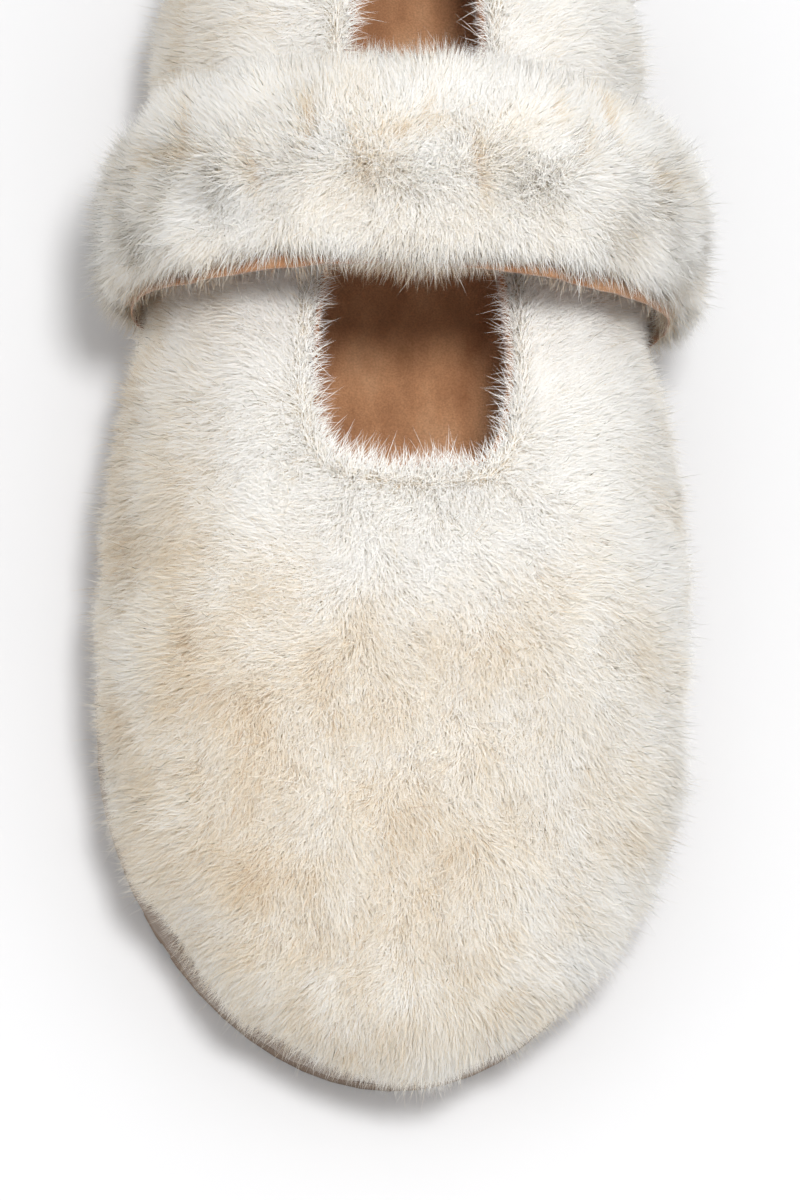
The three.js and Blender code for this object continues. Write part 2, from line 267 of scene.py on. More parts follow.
def suede(name, dark, mid, light, nap=90, grain=2600, sheen=0.35):
    """Brushed microfibre: cloudy nap in three tones over a fine grain."""
    material, tree, shader = new_material(name, 0.95, 0.15)
    cloud = add_noise(tree, nap, 5, (1, 0.55, 1))
    tone = add_ramp(tree, cloud, [(0.3, dark), (0.5, mid), (0.72, light)])
    fine = add_noise(tree, grain, 2)
    speck = add_ramp(tree, fine, [(0.3, srgb(205, 205, 205)), (0.7, srgb(255, 255, 255))])
    tree.links.new(add_mix(tree, 0.7, tone, speck, "MULTIPLY"), shader.inputs["Base Color"])
    add_bump(tree, shader, fine, 0.35, 0.0002)
    shader.inputs["Sheen Weight"].default_value = sheen
    shader.inputs["Sheen Roughness"].default_value = 0.5
    return material


def knit(name, dark, light, pitch=1700):
    """Backing cloth: fine ribs one way over a cloudy colour."""
    material, tree, shader = new_material(name, 0.95, 0.1)
    tone = add_ramp(tree, add_noise(tree, 160, 4), [(0.35, dark), (0.65, light)])
    rib = add_noise(tree, pitch, 1, (1, 0.2, 1))
    shade = add_ramp(tree, rib, [(0.35, srgb(200, 200, 200)), (0.65, srgb(255, 255, 255))])
    tree.links.new(add_mix(tree, 0.8, tone, shade, "MULTIPLY"), shader.inputs["Base Color"])
    add_bump(tree, shader, rib, 0.5, 0.0003)
    return material


def rubber(name, dark, light):
    material, tree, shader = new_material(name, 0.75, 0.4)
    tone = add_ramp(tree, add_noise(tree, 60, 5), [(0.35, dark), (0.65, light)])
    tree.links.new(tone, shader.inputs["Base Color"])
    grain = add_noise(tree, 2200, 2)
    add_bump(tree, shader, grain, 0.3, 0.00015)
    rough = tree.nodes.new("ShaderNodeMapRange")
    rough.inputs["To Min"].default_value = 0.62
    rough.inputs["To Max"].default_value = 0.88
    tree.links.new(grain, rough.inputs["Value"])
    tree.links.new(rough.outputs["Result"], shader.inputs["Roughness"])
    return material


def foam(name, dark, light, cells=900):
    material, tree, shader = new_material(name, 0.9, 0.2)
    cell = tree.nodes.new("ShaderNodeTexVoronoi")
    cell.inputs["Scale"].default_value = cells
    place = tree.nodes.new("ShaderNodeTexCoord")
    tree.links.new(place.outputs["Object"], cell.inputs["Vector"])
    tone = add_ramp(tree, cell.outputs["Distance"], [(0.1, dark), (0.6, light)])
    tree.links.new(tone, shader.inputs["Base Color"])
    add_bump(tree, shader, cell.outputs["Distance"], 0.4, 0.0003)
    return material


FUR_SHADES = [
    srgb(254, 253, 250), srgb(252, 248, 240), srgb(247, 239, 224), srgb(238, 223, 198),
    srgb(226, 202, 168), srgb(208, 174, 136), srgb(166, 124, 88), srgb(100, 68, 46)]


def fur_strand(name, color):
    """One shade of pile. Its soft halo varies in patches. The colours mix strand by strand."""
    material, tree, shader = new_material(name, 0.62, 0.28)
    shader.inputs["Base Color"].default_value = color
    halo = tree.nodes.new("ShaderNodeMapRange")
    halo.inputs["To Min"].default_value = 0.05
    halo.inputs["To Max"].default_value = 0.4
    tree.links.new(add_noise(tree, 140, 3), halo.inputs["Value"])
    tree.links.new(halo.outputs["Result"], shader.inputs["Sheen Weight"])
    return material


BROWN_SUEDE = suede("brown_suede", srgb(160, 111, 77), srgb(193, 142, 103), srgb(213, 166, 127))
TAUPE_SUEDE = suede("taupe_suede", srgb(144, 124, 108), srgb(156, 137, 121), srgb(168, 150, 134),
                    160, 2000, 0.2)
FUR_BACKING = knit("fur_backing", srgb(214, 198, 174), srgb(238, 228, 212))
OUTSOLE_RUBBER = rubber("outsole_rubber", srgb(132, 112, 96), srgb(156, 136, 118))
FOAM = foam("sole_foam", srgb(206, 196, 180), srgb(232, 226, 214))
BOARD = knit("fibre_board", srgb(176, 156, 124), srgb(200, 182, 150), 900)
WADDING = foam("wadding", srgb(226, 222, 212), srgb(246, 243, 236), 500)
ELASTIC = knit("elastic_web", srgb(220, 214, 202), srgb(240, 236, 226), 2400)
FUR = [fur_strand(f"pile_{i}", color) for i, color in enumerate(FUR_SHADES)]


# ---------------------------------------------------------------- mesh helpers
def add_piece(name, points, faces, material, body, replaced=(), slot=None):
    mesh = bpy.data.meshes.new(name)
    mesh.from_pydata((np.asarray(points).reshape(-1, 3) * MM).tolist(), [], faces)
    mesh.materials.append(material)
    mesh.polygons.foreach_set("use_smooth", [True] * len(mesh.polygons))
    mesh.update()
    piece = bpy.data.objects.new(name, mesh)
    bpy.context.scene.collection.objects.link(piece)
    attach(piece, body)
    if replaced:
        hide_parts(*replaced)
    return piece


def slab_faces(columns, rows):
    """Faces of a closed slab made of an outer and an inner grid of points."""
    size = (columns + 1) * (rows + 1)
    at = lambda layer, i, j: layer * size + i * (rows + 1) + j
    faces = []
    for i in range(columns):
        for j in range(rows):
            faces.append((at(0, i, j), at(0, i + 1, j), at(0, i + 1, j + 1), at(0, i, j + 1)))
            faces.append((at(1, i, j), at(1, i, j + 1), at(1, i + 1, j + 1), at(1, i + 1, j)))
        faces.append((at(0, i, 0), at(1, i, 0), at(1, i + 1, 0), at(0, i + 1, 0)))
        faces.append((at(0, i, rows), at(0, i + 1, rows), at(1, i + 1, rows), at(1, i, rows)))
    for j in range(rows):
        faces.append((at(0, 0, j), at(0, 0, j + 1), at(1, 0, j + 1), at(1, 0, j)))
        faces.append((at(0, columns, j), at(1, columns, j),
                      at(1, columns, j + 1), at(0, columns, j + 1)))
    return faces


def panel(name, angles, ups, depths, columns, rows, material, wrinkle=None, **facts):
    """A panel of the upper between two depths, with optional wrinkles in its depth."""
    a, v = np.meshgrid(np.linspace(*angles, columns + 1), np.linspace(*ups, rows + 1), indexing="ij")
    fold = wrinkle(upper_face(a, v)) if wrinkle else np.zeros_like(a)
    layers = [upper_point(a, v, depth + fold) for depth in depths]
    add_piece(name, np.stack(layers), slab_faces(columns, rows), material, "shoe", **facts)


def ring_faces(count, size):
    faces = []
    for i in range(count):
        here, there = i * size, (i + 1) % count * size
        for j in range(size):
            k = (j + 1) % size
            faces.append((here + j, there + j, there + k, here + k))
    return faces


# ---------------------------------------------------------------- sole
def make_sole_wrap():
    """Suede strip round the sole, a little full, pulled over its top edge with small puckers."""
    count, profile = 640, []
    for z, out in [(5.3, 0.35), (5.3, 2.2), (6.2, 2.8), (9, 3.1), (12, 3.1), (14.5, 2.9),
                   (16.2, 2.3), (17, 1.3), (17.1, 0.7), (16.9, 0.35), (12, 0.3)]:
        profile.append((z, out))
    z, out = np.array(profile).T
    angle = np.linspace(0, 2 * math.pi, count, endpoint=False)
    a, zz = np.meshgrid(angle, z, indexing="ij")
    _, oo = np.meshgrid(angle, out, indexing="ij")
    flat = offset_outline(a, np.zeros_like(a))
    points = np.concatenate([flat, zz[..., None]], -1)
    full = waves(31, 22, 6)(points) * 0.16 + waves(32, 5, 2.5)(points) * 0.06
    reach = np.clip((oo - 0.5) / 1.5, 0, 1)
    spot = offset_outline(a, oo + full * reach)
    points = np.concatenate([spot, zz[..., None]], -1)
    add_piece("sole_wrap_suede", points, ring_faces(count, len(z)), TAUPE_SUEDE, "shoe",
              ("sole_wrap",), "taupe_suede")


def make_footbed():
    """The suede footbed cover: padded, cupped at the heel and edges, over its foam."""
    rings, count = 26, 200
    angle = np.linspace(0, 2 * math.pi, count, endpoint=False)
    points = []
    edge = offset_outline(angle, np.full(count, -FOOTBED_INSET))
    spine = np.stack([np.full(count, 2.0), np.clip(edge[:, 1], -78, 86)], -1)
    press = waves(41, 60, 25)
    for i in range(rings + 1):
        s = i / rings
        plan = edge + (spine - edge) * s
        rim = 1 - math.exp(-s * 30)
        cup = 0.9 * math.exp(-s * 5)
        flat = np.concatenate([plan, np.full((count, 1), FOOTBED_LEVEL)], -1)
        z = FOOTBED_LEVEL + (1.5 + cup) * rim + press(flat) * 0.18 * min(s * 5, 1)
        points.append(np.concatenate([plan, z[:, None]], -1))
    under = np.concatenate([edge, np.full((count, 1), FOOTBED_LEVEL)], -1)
    points = np.concatenate([[under], points])
    faces = []
    for i in range(rings + 1):
        for j in range(count):
            k = (j + 1) % count
            faces.append((i * count + j, i * count + k, (i + 1) * count + k, (i + 1) * count + j))
    top = (rings + 1) * count
    half = count // 2
    for j in range(half):
        left, right = top + (count - j) % count, top + j
        nxt_left, nxt_right = top + (count - j - 1) % count, top + j + 1
        if left == right:
            faces.append((right, nxt_right, nxt_left))
        elif nxt_left == nxt_right:
            faces.append((right, nxt_right, left))
        else:
            faces.append((right, nxt_right, nxt_left, left))
    faces.append(tuple(range(count - 1, -1, -1)))
    piece = add_piece("footbed_suede", points, faces, BROWN_SUEDE, "shoe",
                      ("footbed_cover",), "brown_suede")


# ---------------------------------------------------------------- linings and slot edge
def make_linings():
    crumple = waves(51, 30, 9)
    wrinkle = lambda points: crumple(points) * 0.22
    seam = SEAM_ANGLE
    panel("vamp_lining_suede", (-seam, seam), (0, 1), LINING_DEPTHS, 220, 60, BROWN_SUEDE,
          wrinkle, replaced=("vamp_lining",), slot="brown_suede")
    panel("quarter_lining_suede_right", (seam, math.pi - 0.003), (0, 1), LINING_DEPTHS, 90, 50,
          BROWN_SUEDE, wrinkle, replaced=("quarter_lining_right",), slot="brown_suede")
    panel("quarter_lining_suede_left", (math.pi + 0.003, 2 * math.pi - seam), (0, 1),
          LINING_DEPTHS, 90, 50, BROWN_SUEDE, wrinkle,
          replaced=("quarter_lining_left",), slot="brown_suede")


def slot_frame(angle):
    along = slot_at(angle + 0.02) - slot_at(angle - 0.02)
    along[..., 2] = 0
    along = unit(along)
    inward = np.stack([-along[..., 1], along[..., 0], np.zeros_like(angle)], -1)
    return slot_at(angle), inward


def make_binding():
    """Folded suede strip that closes the slot edge, with a rolled top."""
    count = 420
    section = [(0.3, -6.4), (0.3, -0.4), (0.6, 0.1), (1.0, 0.25), (1.4, 0.1), (1.7, -0.4),
               (1.75, -3), (1.7, -6.4)]
    angle = np.linspace(0, 2 * math.pi, count, endpoint=False)
    edge, inward = slot_frame(angle)
    pucker = waves(61, 8, 3)(edge) * 0.12
    points = np.stack([edge + inward * (out + pucker * (out > 1))[:, None]
                       + np.array([0, 0, z]) for out, z in section], 1)
    add_piece("slot_binding", points, ring_faces(count, len(section)), BROWN_SUEDE,
              "shoe", ("topline_binding",), "brown_suede")


# ---------------------------------------------------------------- strap
def strap_line(angle):
    """Middle of the strap's thickness, and the way out of the strap, at an angle over the foot."""
    def span(a):
        rise = np.clip(np.sin(np.clip(a, 0, math.pi)), 0, 1) ** (2 / STRAP_POWER)
        half = STRAP_HALF_SPAN - STRAP_PINCH * (1 - rise) ** 5
        x = half * signed_power(np.cos(np.clip(a, 0, math.pi)), 2 / STRAP_POWER)
        return np.stack([x, np.full_like(x, STRAP_Y), STRAP_FOOT + STRAP_RISE * rise], -1)
    along = unit(span(angle + 0.01) - span(angle - 0.01))
    out = np.stack([along[..., 2], np.zeros_like(angle), -along[..., 0]], -1)
    near_end = np.abs(np.cos(angle)) ** 5
    return span(angle), out, 1 - 0.3 * near_end, 1 - 0.65 * near_end


def strap_stations(count):
    """Angles over the foot that are evenly spaced along the strap, and the length there."""
    fine = np.linspace(0, math.pi, 2001)
    points, _, _, _ = strap_line(fine)
    run = np.concatenate([[0], np.cumsum(np.linalg.norm(np.diff(points, axis=0), axis=1))])
    length = np.linspace(0, run[-1], count)
    return np.interp(length, run, fine), length


def gathers():
    """Short creases across the strap: where, slant, middle, reach, depth and width."""
    rng = np.random.default_rng(9)
    place = 11.0
    creases = []
    while place < 184:
        creases.append((place, rng.uniform(-0.25, 0.25), rng.uniform(-3, 11),
                        rng.uniform(3.5, 8), rng.uniform(0.2, 0.5), rng.uniform(1.0, 1.6)))
        place += rng.uniform(8, 15)
    return creases


GATHERS = gathers()


def gather_depth(length, across):
    """How deep the cloth is drawn in (mm), and how deep in a crease a place is (0 to 1)."""
    drawn = np.zeros_like(length)
    ridge = across - 4 - 1.2 * np.sin(length * 0.21)
    core = 0.75 * np.exp(-((ridge / 1.1) ** 2)) * smooth_step(1.5 * np.sin(length * 0.13 + 0.9) - 0.3)
    for place, slant, centre, half, depth, width in GATHERS:
        off = length - place - slant * across - 0.7 * np.sin(across * 0.3 + place)
        window = np.exp(-np.abs((across - centre) / half) ** 3)
        drawn += depth * np.exp(-((off / (1.5 * width)) ** 2)) * window
        core = np.maximum(core, np.exp(-((off / (0.6 * width)) ** 2)) * window)
    return drawn, core


def strap_grid(columns=420, rows=84):
    """Outer cloth of the strap, wrapped round both edges, drawn in along its gathers."""
    angle, length = strap_stations(columns + 1)
    section = np.radians(np.linspace(*STRAP_WRAP, rows + 1))
    a, turn = np.meshgrid(angle, section, indexing="ij")
    run, _ = np.meshgrid(length, section, indexing="ij")
    middle, out, depth, thick = strap_line(a)
    across = STRAP_HALF_DEPTH * signed_power(np.cos(turn), 0.8)
    up = np.where(np.sin(turn) > 0, 4.2, 4.4) * signed_power(np.sin(turn), 0.8)
    drawn, core = gather_depth(run, across)
    lobe = waves(71, 30, 13)(np.stack([run, across, 0 * run], -1))
    swell = np.clip(np.sin(turn), -0.2, 1) * (0.6 + 0.55 * lobe - drawn)
    pull = 1 + 0.02 * lobe - 0.015 * drawn * np.abs(np.cos(turn))
    y = np.stack([0 * a, 0 * a + 1, 0 * a], -1)
    points = middle + out * ((up + swell) * thick)[..., None] + y * (across * depth * pull)[..., None]
    return {"points": points, "run": run, "across": across, "core": core, "turn": turn}


def make_strap():
    """The strap's fur cloth and its suede lining. Gives back the grid that the pile grows on."""
    grid = strap_grid()
    points = grid["points"]
    columns, rows = points.shape[0] - 1, points.shape[1] - 1
    du, dv = np.gradient(points, axis=0), np.gradient(points, axis=1)
    normal = unit(np.cross(dv, du))
    normal *= np.sign(np.sum(normal * (points - STRAP_HEART), -1).mean())
    layers = np.stack([points, points - normal * STRAP_CLOTH])
    cloth = add_piece("strap_cloth", layers, slab_faces(columns, rows), FUR_BACKING, "strap",
                      ("strap_fur",), "fur_pale")
    angle, length = strap_stations(401)
    wide = np.linspace(-FACING_FRONT, FACING_REAR, 49)
    a, w = np.meshgrid(angle, wide, indexing="ij")
    r, _ = np.meshgrid(length, wide, indexing="ij")
    middle, out, depth, thick = strap_line(a)
    drawn, _ = gather_depth(r, w)
    pucker = 0.3 * waves(73, 14, 5)(np.stack([r, 0.3 * w, 0 * r], -1)) - 0.2 * drawn
    y = np.stack([0 * a, 0 * a + 1, 0 * a], -1)
    curl = 1.4 * smooth_step((-w - 15.6) / 5) + 1.2 * smooth_step((w - 15.6) / 3)
    layers = [middle + out * ((level + pucker + curl) * thick)[..., None]
              + y * (w * depth)[..., None] for level in (-2.5, -3.5)]
    add_piece("strap_lining_suede", np.stack(layers), slab_faces(400, 48), BROWN_SUEDE, "strap",
              ("strap_lining",), "brown_suede")
    return grid


# ---------------------------------------------------------------- pile
# Two coats: soft underfur, and fewer, longer and finer guard hairs over it
COATS = {
    "under": {"density": 10.5, "long": 0.78, "wide": 0.145, "bends": 2, "tuft": 0.2,
              "lean": (0.38, 1.08), "tone": -0.15},
    "guard": {"density": 6.2, "long": 1.0, "wide": 0.088, "bends": 3, "tuft": 0.34,
              "lean": (0.52, 1.22), "tone": 0.1},
}
MOST_TRIANGLES = 190000  # in one piece of pile


class Ground:
    """A grid of surface points that pile grows from, with fields known at each point."""

    def __init__(self, points, heart, **fields):
        self.points = points
        self.du = np.gradient(points, axis=0)
        self.dv = np.gradient(points, axis=1)
        normal = np.cross(self.du, self.dv)
        self.area = np.linalg.norm(normal, axis=-1)
        self.area = (self.area[:-1, :-1] + self.area[1:, 1:]) / 2
        self.normal = unit(normal) * np.sign(np.sum(normal * (points - heart)))
        self.fields = fields

    def sample(self, rng, density):
        count = int(self.area.sum() * density)
        total = np.cumsum(self.area.ravel())
        cell = np.searchsorted(total, rng.uniform(0, total[-1], count))
        i, j = np.divmod(np.minimum(cell, self.area.size - 1), self.area.shape[1])
        s, t = rng.uniform(size=(2, count))

        def pick(grid):
            shape = (-1,) + (1,) * (grid.ndim - 2)
            across, along = s.reshape(shape), t.reshape(shape)
            low = grid[i, j] * (1 - along) + grid[i, j + 1] * along
            high = grid[i + 1, j] * (1 - along) + grid[i + 1, j + 1] * along
            return low * (1 - across) + high * across

        found = {name: pick(grid) for name, grid in self.fields.items()}
        found.update(root=pick(self.points), normal=unit(pick(self.normal)),
                     du=unit(pick(self.du)), dv=unit(pick(self.dv)))
        return found


def tuft_pull(root, normal, size, seed=3):
    """From each root to the middle of its tuft, along the surface."""
    cell = np.floor(root / size).astype(np.int64)
    best = np.full(len(root), 1e9)
    target = root.copy()
    for step in np.ndindex(3, 3, 3):
        c = cell + np.array(step) - 1
        h = (c[:, 0] * 73856093 ^ c[:, 1] * 19349663 ^ c[:, 2] * 83492791) + seed * 977
        jitter = np.stack([((h * m) % 10007) / 10007 for m in (17, 131, 1013)], -1)
        gap = (c + jitter) * size - root
        gap -= normal * np.sum(gap * normal, -1, keepdims=True)
        far = np.sum(gap**2, -1)
        near = far < best
        best = np.where(near, far, best)
        target = np.where(near[:, None], root + gap, target)
    return target - root


def strand_path(found, rng, comb, length, coat, tuft_size=3.2):
    """Points along each strand. A short comb vector leaves the strand loose and more upright."""
    root, normal = found["root"], found["normal"]
    count = len(root)
    comb = comb - normal * np.sum(comb * normal, -1, keepdims=True)
    slack = 1 - np.clip(np.linalg.norm(comb, axis=-1), 0, 1)
    comb = comb + rng.normal(0, 0.55, comb.shape) * slack[:, None]
    comb -= normal * np.sum(comb * normal, -1, keepdims=True)
    flow = np.clip(np.linalg.norm(comb, axis=-1), 0, 1)
    comb = unit(comb)
    side = np.cross(normal, comb)
    swirl = rng.normal(0, 0.36, count)
    comb = comb * np.cos(swirl)[:, None] + side * np.sin(swirl)[:, None]
    first, last = (lean * flow + rng.normal(0, 0.18, count) for lean in coat["lean"])
    steps = np.linspace(0, 1, coat["bends"] + 1)
    pull = tuft_pull(root, normal, tuft_size) * (coat["tuft"] * rng.uniform(0.4, 1.2, count))[:, None]
    curl = side * (rng.normal(0, 0.06, count) * length)[:, None]
    spots = [root - normal * 0.3]
    for before, after in zip(steps[:-1], steps[1:]):
        tilt = first + (last - first) * (before + after) / 2
        along = normal * np.cos(tilt)[:, None] + comb * np.sin(tilt)[:, None]
        spots.append(spots[-1] + along * (length * (after - before))[:, None])
    return [spot + pull * step**1.3 + curl * step**2 for spot, step in zip(spots, steps)]


def strand_mesh(name, verts, tris, tones, shine):
    count, size = verts.shape[:2]
    per = tris.shape[1]
    mesh = bpy.data.meshes.new(name)
    mesh.vertices.add(count * size)
    mesh.vertices.foreach_set("co", (verts * MM).astype(np.float32).ravel())
    mesh.loops.add(count * per * 3)
    corners = tris + (np.arange(count) * size)[:, None, None]
    mesh.loops.foreach_set("vertex_index", corners.astype(np.int32).ravel())
    mesh.polygons.add(count * per)
    mesh.polygons.foreach_set("loop_start", np.arange(0, count * per * 3, 3, dtype=np.int32))
    for material in FUR:
        mesh.materials.append(material)
    mesh.polygons.foreach_set("material_index", tones.astype(np.int32).ravel())
    mesh.polygons.foreach_set("use_smooth", np.ones(count * per, dtype=bool))
    mesh.update(calc_edges=True)
    mesh.normals_split_custom_set_from_vertices(np.repeat(shine, size, axis=0).astype(np.float32))
    piece = bpy.data.objects.new(name, mesh)
    bpy.context.scene.collection.objects.link(piece)
    return piece


def grow(name, body, found, rng, comb, length, shade, coat):
    """Pile as tapered ribbons, in pieces that each stay under MOST_TRIANGLES."""
    normal, count, bends = found["normal"], len(found["root"]), coat["bends"]
    spots = strand_path(found, rng, comb, length, coat)
    along = unit(spots[-2] - spots[0])
    across = unit(np.cross(along, normal))
    face = unit(np.cross(across, along))
    twist = rng.uniform(-0.55, 0.55, count)[:, None]
    across = across * np.cos(twist) + face * np.sin(twist)
    face = unit(np.cross(across, along))
    face *= np.sign(np.sum(face * normal, -1, keepdims=True) + 1e-6)
    half = coat["wide"] / 2 * rng.uniform(0.75, 1.3, count)
    verts = []
    for k in range(bends):
        reach = across * (half * (1 - 0.5 * (k / bends) ** 1.5))[:, None]
        verts += [spots[k] - reach, spots[k] + reach]
    verts = np.stack(verts + [spots[-1]], 1)
    order = []
    for k in range(0, 2 * bends - 2, 2):
        order += [(k, k + 1, k + 3), (k, k + 3, k + 2)]
    order = np.array(order + [(2 * bends - 2, 2 * bends - 1, 2 * bends)])
    turned = np.sum(np.cross(verts[:, 1] - verts[:, 0], verts[:, 2] - verts[:, 0]) * face, -1) < 0
    tris = np.where(turned[:, None, None], order[None, :, ::-1], order[None])
    fade = np.repeat(np.linspace(1.0, -0.35, bends), 2)[:-1]
    tones = shade[:, None] + coat["tone"] + fade + rng.uniform(size=(count, 1))
    tones = np.clip(np.floor(tones), 0, len(FUR) - 1)
    shine = unit(face * 0.22 + normal)
    pieces = math.ceil(count * len(order) / MOST_TRIANGLES)
    from_toe = np.argsort(found["root"][:, 1], kind="stable")
    for part, chosen in enumerate(np.array_split(from_toe, pieces)):
        piece = strand_mesh(f"{name}_{part + 1}", verts[chosen], tris[chosen], tones[chosen],
                            shine[chosen])
        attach(piece, body)
    print(name, count, "strands", count * len(order), "triangles")


def upper_ground(angles, columns, rows=90):
    a, v = np.meshgrid(np.linspace(*angles, columns), np.linspace(0.0, 1.0, rows), indexing="ij")
    return Ground(upper_point(a, v, PILE_DEPTH + 0 * a), np.array([0, 0, 20]), angle=a, up=v)


def grow_upper(name, angles, columns, thin, seed):
    """Pile on the upper: combed down from the slot, and turned in over the slot edge."""
    rng = np.random.default_rng(seed)
    ground = upper_ground(angles, columns)
    drift_field, eddy_field = waves(seed, 60, 22), waves(seed + 1, 18, 8)
    length_field = waves(seed + 2, 30, 10)
    cloud, mottle = waves(81, 46, 16), waves(82, 14, 6)
    for kind, coat in COATS.items():
        found = ground.sample(rng, coat["density"] * thin)
        root, count = found["root"], len(found["root"])
        edge_gap = np.linalg.norm(root - slot_at(found["angle"]), axis=-1)
        rim = smooth_step(1 - edge_gap / 4.4)
        hem = smooth_step(1 - (root[:, 2] - 17) / 12)
        flow = 0.8 + 0.2 * smooth_step((edge_gap - 3) / 12) - 1.7 * rim
        drift = 0.42 * drift_field(root) + 0.26 * eddy_field(root)
        comb = -found["dv"] * flow[:, None] + found["du"] * (drift * np.clip(flow, 0.15, 1))[:, None]
        comb = comb * (1 - 0.6 * hem)[:, None]
        # Painted side shade and painted light: the pile on the left is coloured darker and more beige,
        # the pile on the right whiter, on top of the random beige patches.
        left = smooth_step((12 - root[:, 0]) / 60)
        throat = np.exp(-((edge_gap / 24) ** 2))
        right = smooth_step((root[:, 0] - 15) / 35)
        tone_and_painted_shade = 0.98 + 0.22 * cloud(root) + 0.18 * mottle(root * (1, 0.6, 1))
        tone_and_painted_shade = tone_and_painted_shade + 0.4 * left - 0.6 * right - 1.9 * throat + 0.1 * hem
        shade = 0.5 + 1.3 * np.clip(tone_and_painted_shade, -0.3, 2.2) + rng.normal(0, 0.5, count)
        shade = np.where(rng.uniform(size=count) < 0.008, shade + 2.4, shade)
        long = (6.9 + 0.8 * length_field(root)) * (1 + 0.3 * rim)
        spared = rng.uniform(size=count) < (0.3 if kind == "guard" else 0.06)
        long = long * np.where(spared, 1 + 0.2 * hem, 1 - 0.5 * hem)
        long = long * coat["long"] * rng.uniform(0.7, 1.25, count)
        wild = rng.uniform(size=count) < 0.08
        comb = comb * np.where(wild, 0.35, 1)[:, None]
        long = long * np.where(wild, 1.2, 1)
        grow(f"{name}_{kind}", "shoe", found, rng, comb, long, shade, coat)


def grow_strap(grid, thin):
    """Pile on the strap: parted on top, trimmed at its front edge's sides, with painted shade in its
    colours: darker tan in the creases (partly the tan roots where the pile parts), brown at its front
    edge and underneath, and darker on its left side.
    """
    rng = np.random.default_rng(21)
    ground = Ground(grid["points"], STRAP_HEART, run=grid["run"], across=grid["across"],
                    core=grid["core"], turn=grid["turn"])
    lobes, cloud, length_field = waves(91, 30, 12), waves(83, 34, 10), waves(92, 24, 9)
    for kind, coat in COATS.items():
        found = ground.sample(rng, 1.1 * coat["density"] * thin)
        root, across, core = found["root"], found["across"], found["core"]
        count = len(root)
        outward = np.clip(np.abs(root[:, 0]) / 45, 0, 1)
        comb = np.zeros((count, 3))
        comb[:, 1] = np.clip((across - 2.5) / 13, -1, 1)
        comb[:, 0] = 0.4 * np.sign(root[:, 0]) * outward
        comb[:, 2] = -0.35 * outward**2
        slide = lobes(root + found["du"]) - lobes(root - found["du"])
        before, _ = gather_depth(found["run"] - 0.8, across)
        after, _ = gather_depth(found["run"] + 0.8, across)
        comb = comb + found["du"] * (0.9 * slide + np.clip(0.5 * (before - after), -0.3, 0.3))[:, None]
        # Painted shade under the front edge: strands at the strap's lower front and underneath are
        # coloured brown.
        under = smooth_step((found["turn"] - 2.9) / 0.35)
        trim = smooth_step((found["turn"] - 2.45) / 0.4) * smooth_step((np.abs(root[:, 0]) - 12) / 14)
        trim = trim * np.where(rng.uniform(size=count) < 0.22, 0, 1)
        # Painted crease shade: strands in the gather creases are coloured darker tan, partly the tan
        # roots that show where the pile parts. Painted side shade: the strap's left side is coloured
        # darker.
        tone_and_painted_shade = 0.15 + 0.3 * cloud(root) + 2.6 * core + 0.3 * smooth_step(-root[:, 0] / 55)
        shade = 0.3 + 1.3 * np.clip(tone_and_painted_shade, -0.25, 2.8) + 2.6 * under + rng.normal(0, 0.5, count)
        shade = np.where(rng.uniform(size=count) < 0.006, shade + 2.4, shade)
        long = (7.6 + 0.8 * length_field(root)) * (1 - 0.2 * core) * (1 - 0.6 * trim)
        long = long * coat["long"] * rng.uniform(0.7, 1.2, count)
        wild = rng.uniform(size=count) < 0.08
        comb = comb * np.where(wild, 0.35, 1)[:, None]
        long = long * np.where(wild, 1.2, 1)
        grow(f"strap_pile_{kind}", "strap", found, rng, comb, long, shade, coat)


# ---------------------------------------------------------------- build
def restyle(node, material):
    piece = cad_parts[node]
    piece.data.materials.clear()
    piece.data.materials.append(material)


for node, material in [
        ("midsole", FOAM), ("insole_board", BOARD), ("footbed_foam", FOAM), ("toe_puff", BOARD),
        ("heel_counter", BOARD), ("strap_padding", WADDING), ("strap_elastic_front", ELASTIC),
        ("strap_elastic_rear", ELASTIC), ("strap_anchor_right", BROWN_SUEDE),
        ("strap_anchor_left", BROWN_SUEDE)]:
    restyle(node, material)
restyle("outsole", OUTSOLE_RUBBER)

make_sole_wrap()
make_footbed()
make_linings()
make_binding()
lumps = waves(52, 40, 14)
dent = lambda points: 1.2 - 0.35 * lumps(points)
seam = SEAM_ANGLE
panel("vamp_cloth", (-seam, seam), (0, 1), CLOTH_DEPTHS, 200, 60, FUR_BACKING, dent,
      replaced=("vamp_fur",), slot="fur_cream")
panel("quarter_cloth_right", (seam, math.pi - 0.002), (0, 1), CLOTH_DEPTHS, 90, 50, FUR_BACKING,
      dent, replaced=("quarter_fur_right",), slot="fur_pale")
panel("quarter_cloth_left", (math.pi + 0.002, 2 * math.pi - seam), (0, 1), CLOTH_DEPTHS, 90, 50,
      FUR_BACKING, dent, replaced=("quarter_fur_left",), slot="fur_cream")
strap = make_strap()

THIN = 1.0
grow_upper("vamp_pile", (-seam, seam), 360, THIN, 11)
grow_upper("quarter_pile_right", (seam, math.pi), 160, THIN, 12)
grow_upper("quarter_pile_left", (math.pi, 2 * math.pi - seam), 160, THIN, 13)
grow_strap(strap, THIN)


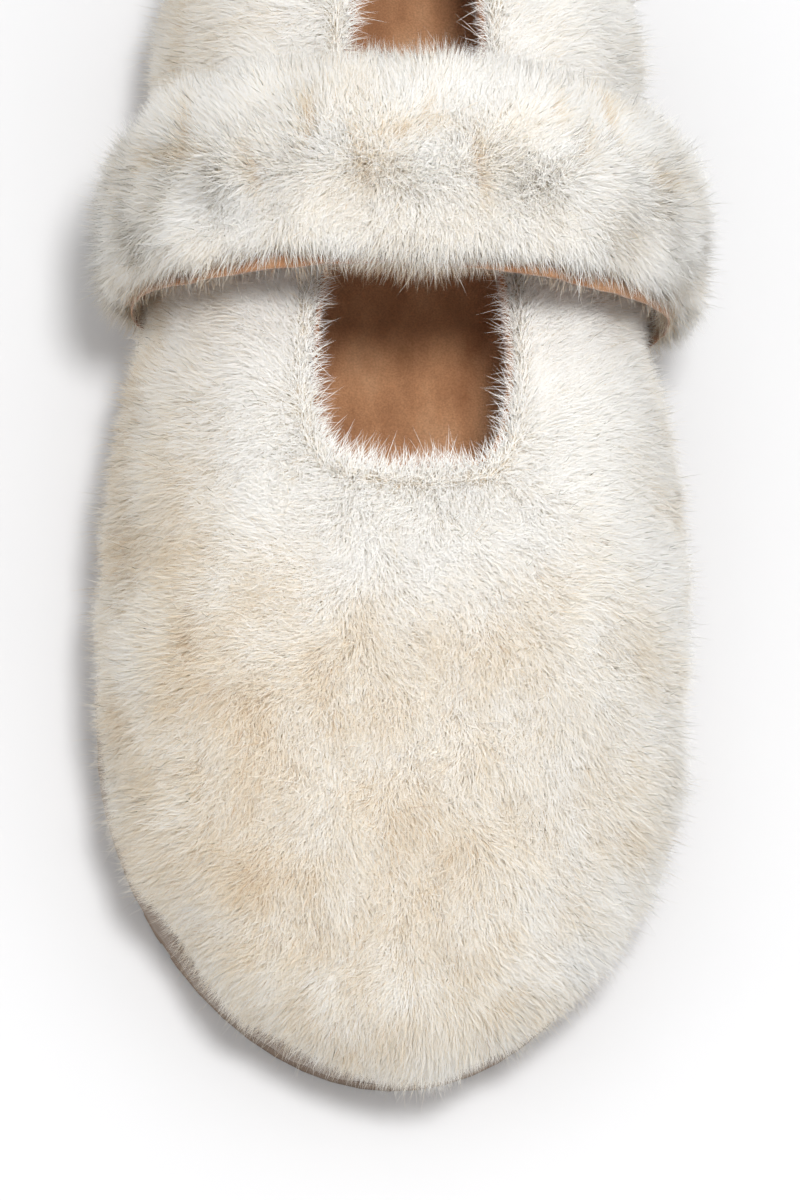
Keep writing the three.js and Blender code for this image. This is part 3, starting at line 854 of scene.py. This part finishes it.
# ---------------------------------------------------------------- floor, light and camera
def make_floor():
    size = 4.0
    steps = np.linspace(-size, size, 9)
    x, y = np.meshgrid(steps, steps, indexing="ij")
    points = np.stack([x, y, 0 * x - 0.0004], -1).reshape(-1, 3)
    faces = [(i * 9 + j, (i + 1) * 9 + j, (i + 1) * 9 + j + 1, i * 9 + j + 1)
             for i in range(8) for j in range(8)]
    mesh = bpy.data.meshes.new("floor")
    mesh.from_pydata(points.tolist(), [], faces)
    material, tree, shader = new_material("floor_paper", 0.95, 0.1)
    tone = add_ramp(tree, add_noise(tree, 8, 3),
                    [(0.3, srgb(228, 228, 229)), (0.7, srgb(230, 230, 231))])
    tree.links.new(tone, shader.inputs["Base Color"])
    mesh.materials.append(material)
    floor = bpy.data.objects.new("floor", mesh)
    bpy.context.scene.collection.objects.link(floor)


def add_light(name, size, power, direction, distance=1.6, aim=(0, 0, 0.03)):
    light = bpy.data.lights.new(name, "AREA")
    light.shape = "DISK"
    light.size = size
    light.energy = power
    lamp = bpy.data.objects.new(name, light)
    way = Vector(direction).normalized()
    lamp.location = Vector(aim) + way * distance
    lamp.rotation_mode = "QUATERNION"
    lamp.rotation_quaternion = (-way).to_track_quat("-Z", "Y")
    bpy.context.scene.collection.objects.link(lamp)


def make_world(low, high):
    """White light from all round, stronger from overhead."""
    world = bpy.data.worlds.new("studio")
    world.use_nodes = True
    tree = world.node_tree
    backdrop = tree.nodes["Background"]
    backdrop.inputs["Color"].default_value = (1, 1, 1, 1)
    place = tree.nodes.new("ShaderNodeTexCoord")
    split = tree.nodes.new("ShaderNodeSeparateXYZ")
    level = tree.nodes.new("ShaderNodeMapRange")
    level.inputs["To Min"].default_value = low
    level.inputs["To Max"].default_value = high
    tree.links.new(place.outputs["Generated"], split.inputs["Vector"])
    tree.links.new(split.outputs["Z"], level.inputs["Value"])
    tree.links.new(level.outputs["Result"], backdrop.inputs["Strength"])
    bpy.context.scene.world = world


make_floor()
add_light("key", 0.34, 17, (0.07, -0.06, 1.0))
add_light("side_right", 1.2, 2.0, (0.9, -0.1, 0.7))
add_light("side_left", 1.2, 1.8, (-0.9, -0.1, 0.7))
make_world(0.2, 0.8)
bpy.context.scene.cycles.diffuse_bounces = 10  # light passes on from strand to strand
bpy.context.scene.view_settings.view_transform = "Standard"


def make_camera(azimuth=-14, elevation=72, roll=15.3, distance=1.2, scale=4.84,
                target=(0.0014, -0.0325, 0.03)):
    """Scale is the photograph's points per mm at the target, in an 800 by 1200 frame."""
    data = bpy.data.cameras.new("camera")
    data.sensor_width = 36
    data.lens = 36 * scale * distance * 1000 / 1200
    camera = bpy.data.objects.new("camera", data)
    a, e = math.radians(azimuth), math.radians(elevation)
    back = Vector((math.sin(a) * math.cos(e), -math.cos(a) * math.cos(e), math.sin(e)))
    camera.location = Vector(target) + back * distance
    camera.rotation_mode = "QUATERNION"
    tilt = Quaternion((0, 0, 1), math.radians(roll))
    camera.rotation_quaternion = (-back).to_track_quat("-Z", "Y") @ tilt
    data.clip_start, data.clip_end = 0.05, 20
    bpy.context.scene.collection.objects.link(camera)
    bpy.context.scene.camera = camera


make_camera()
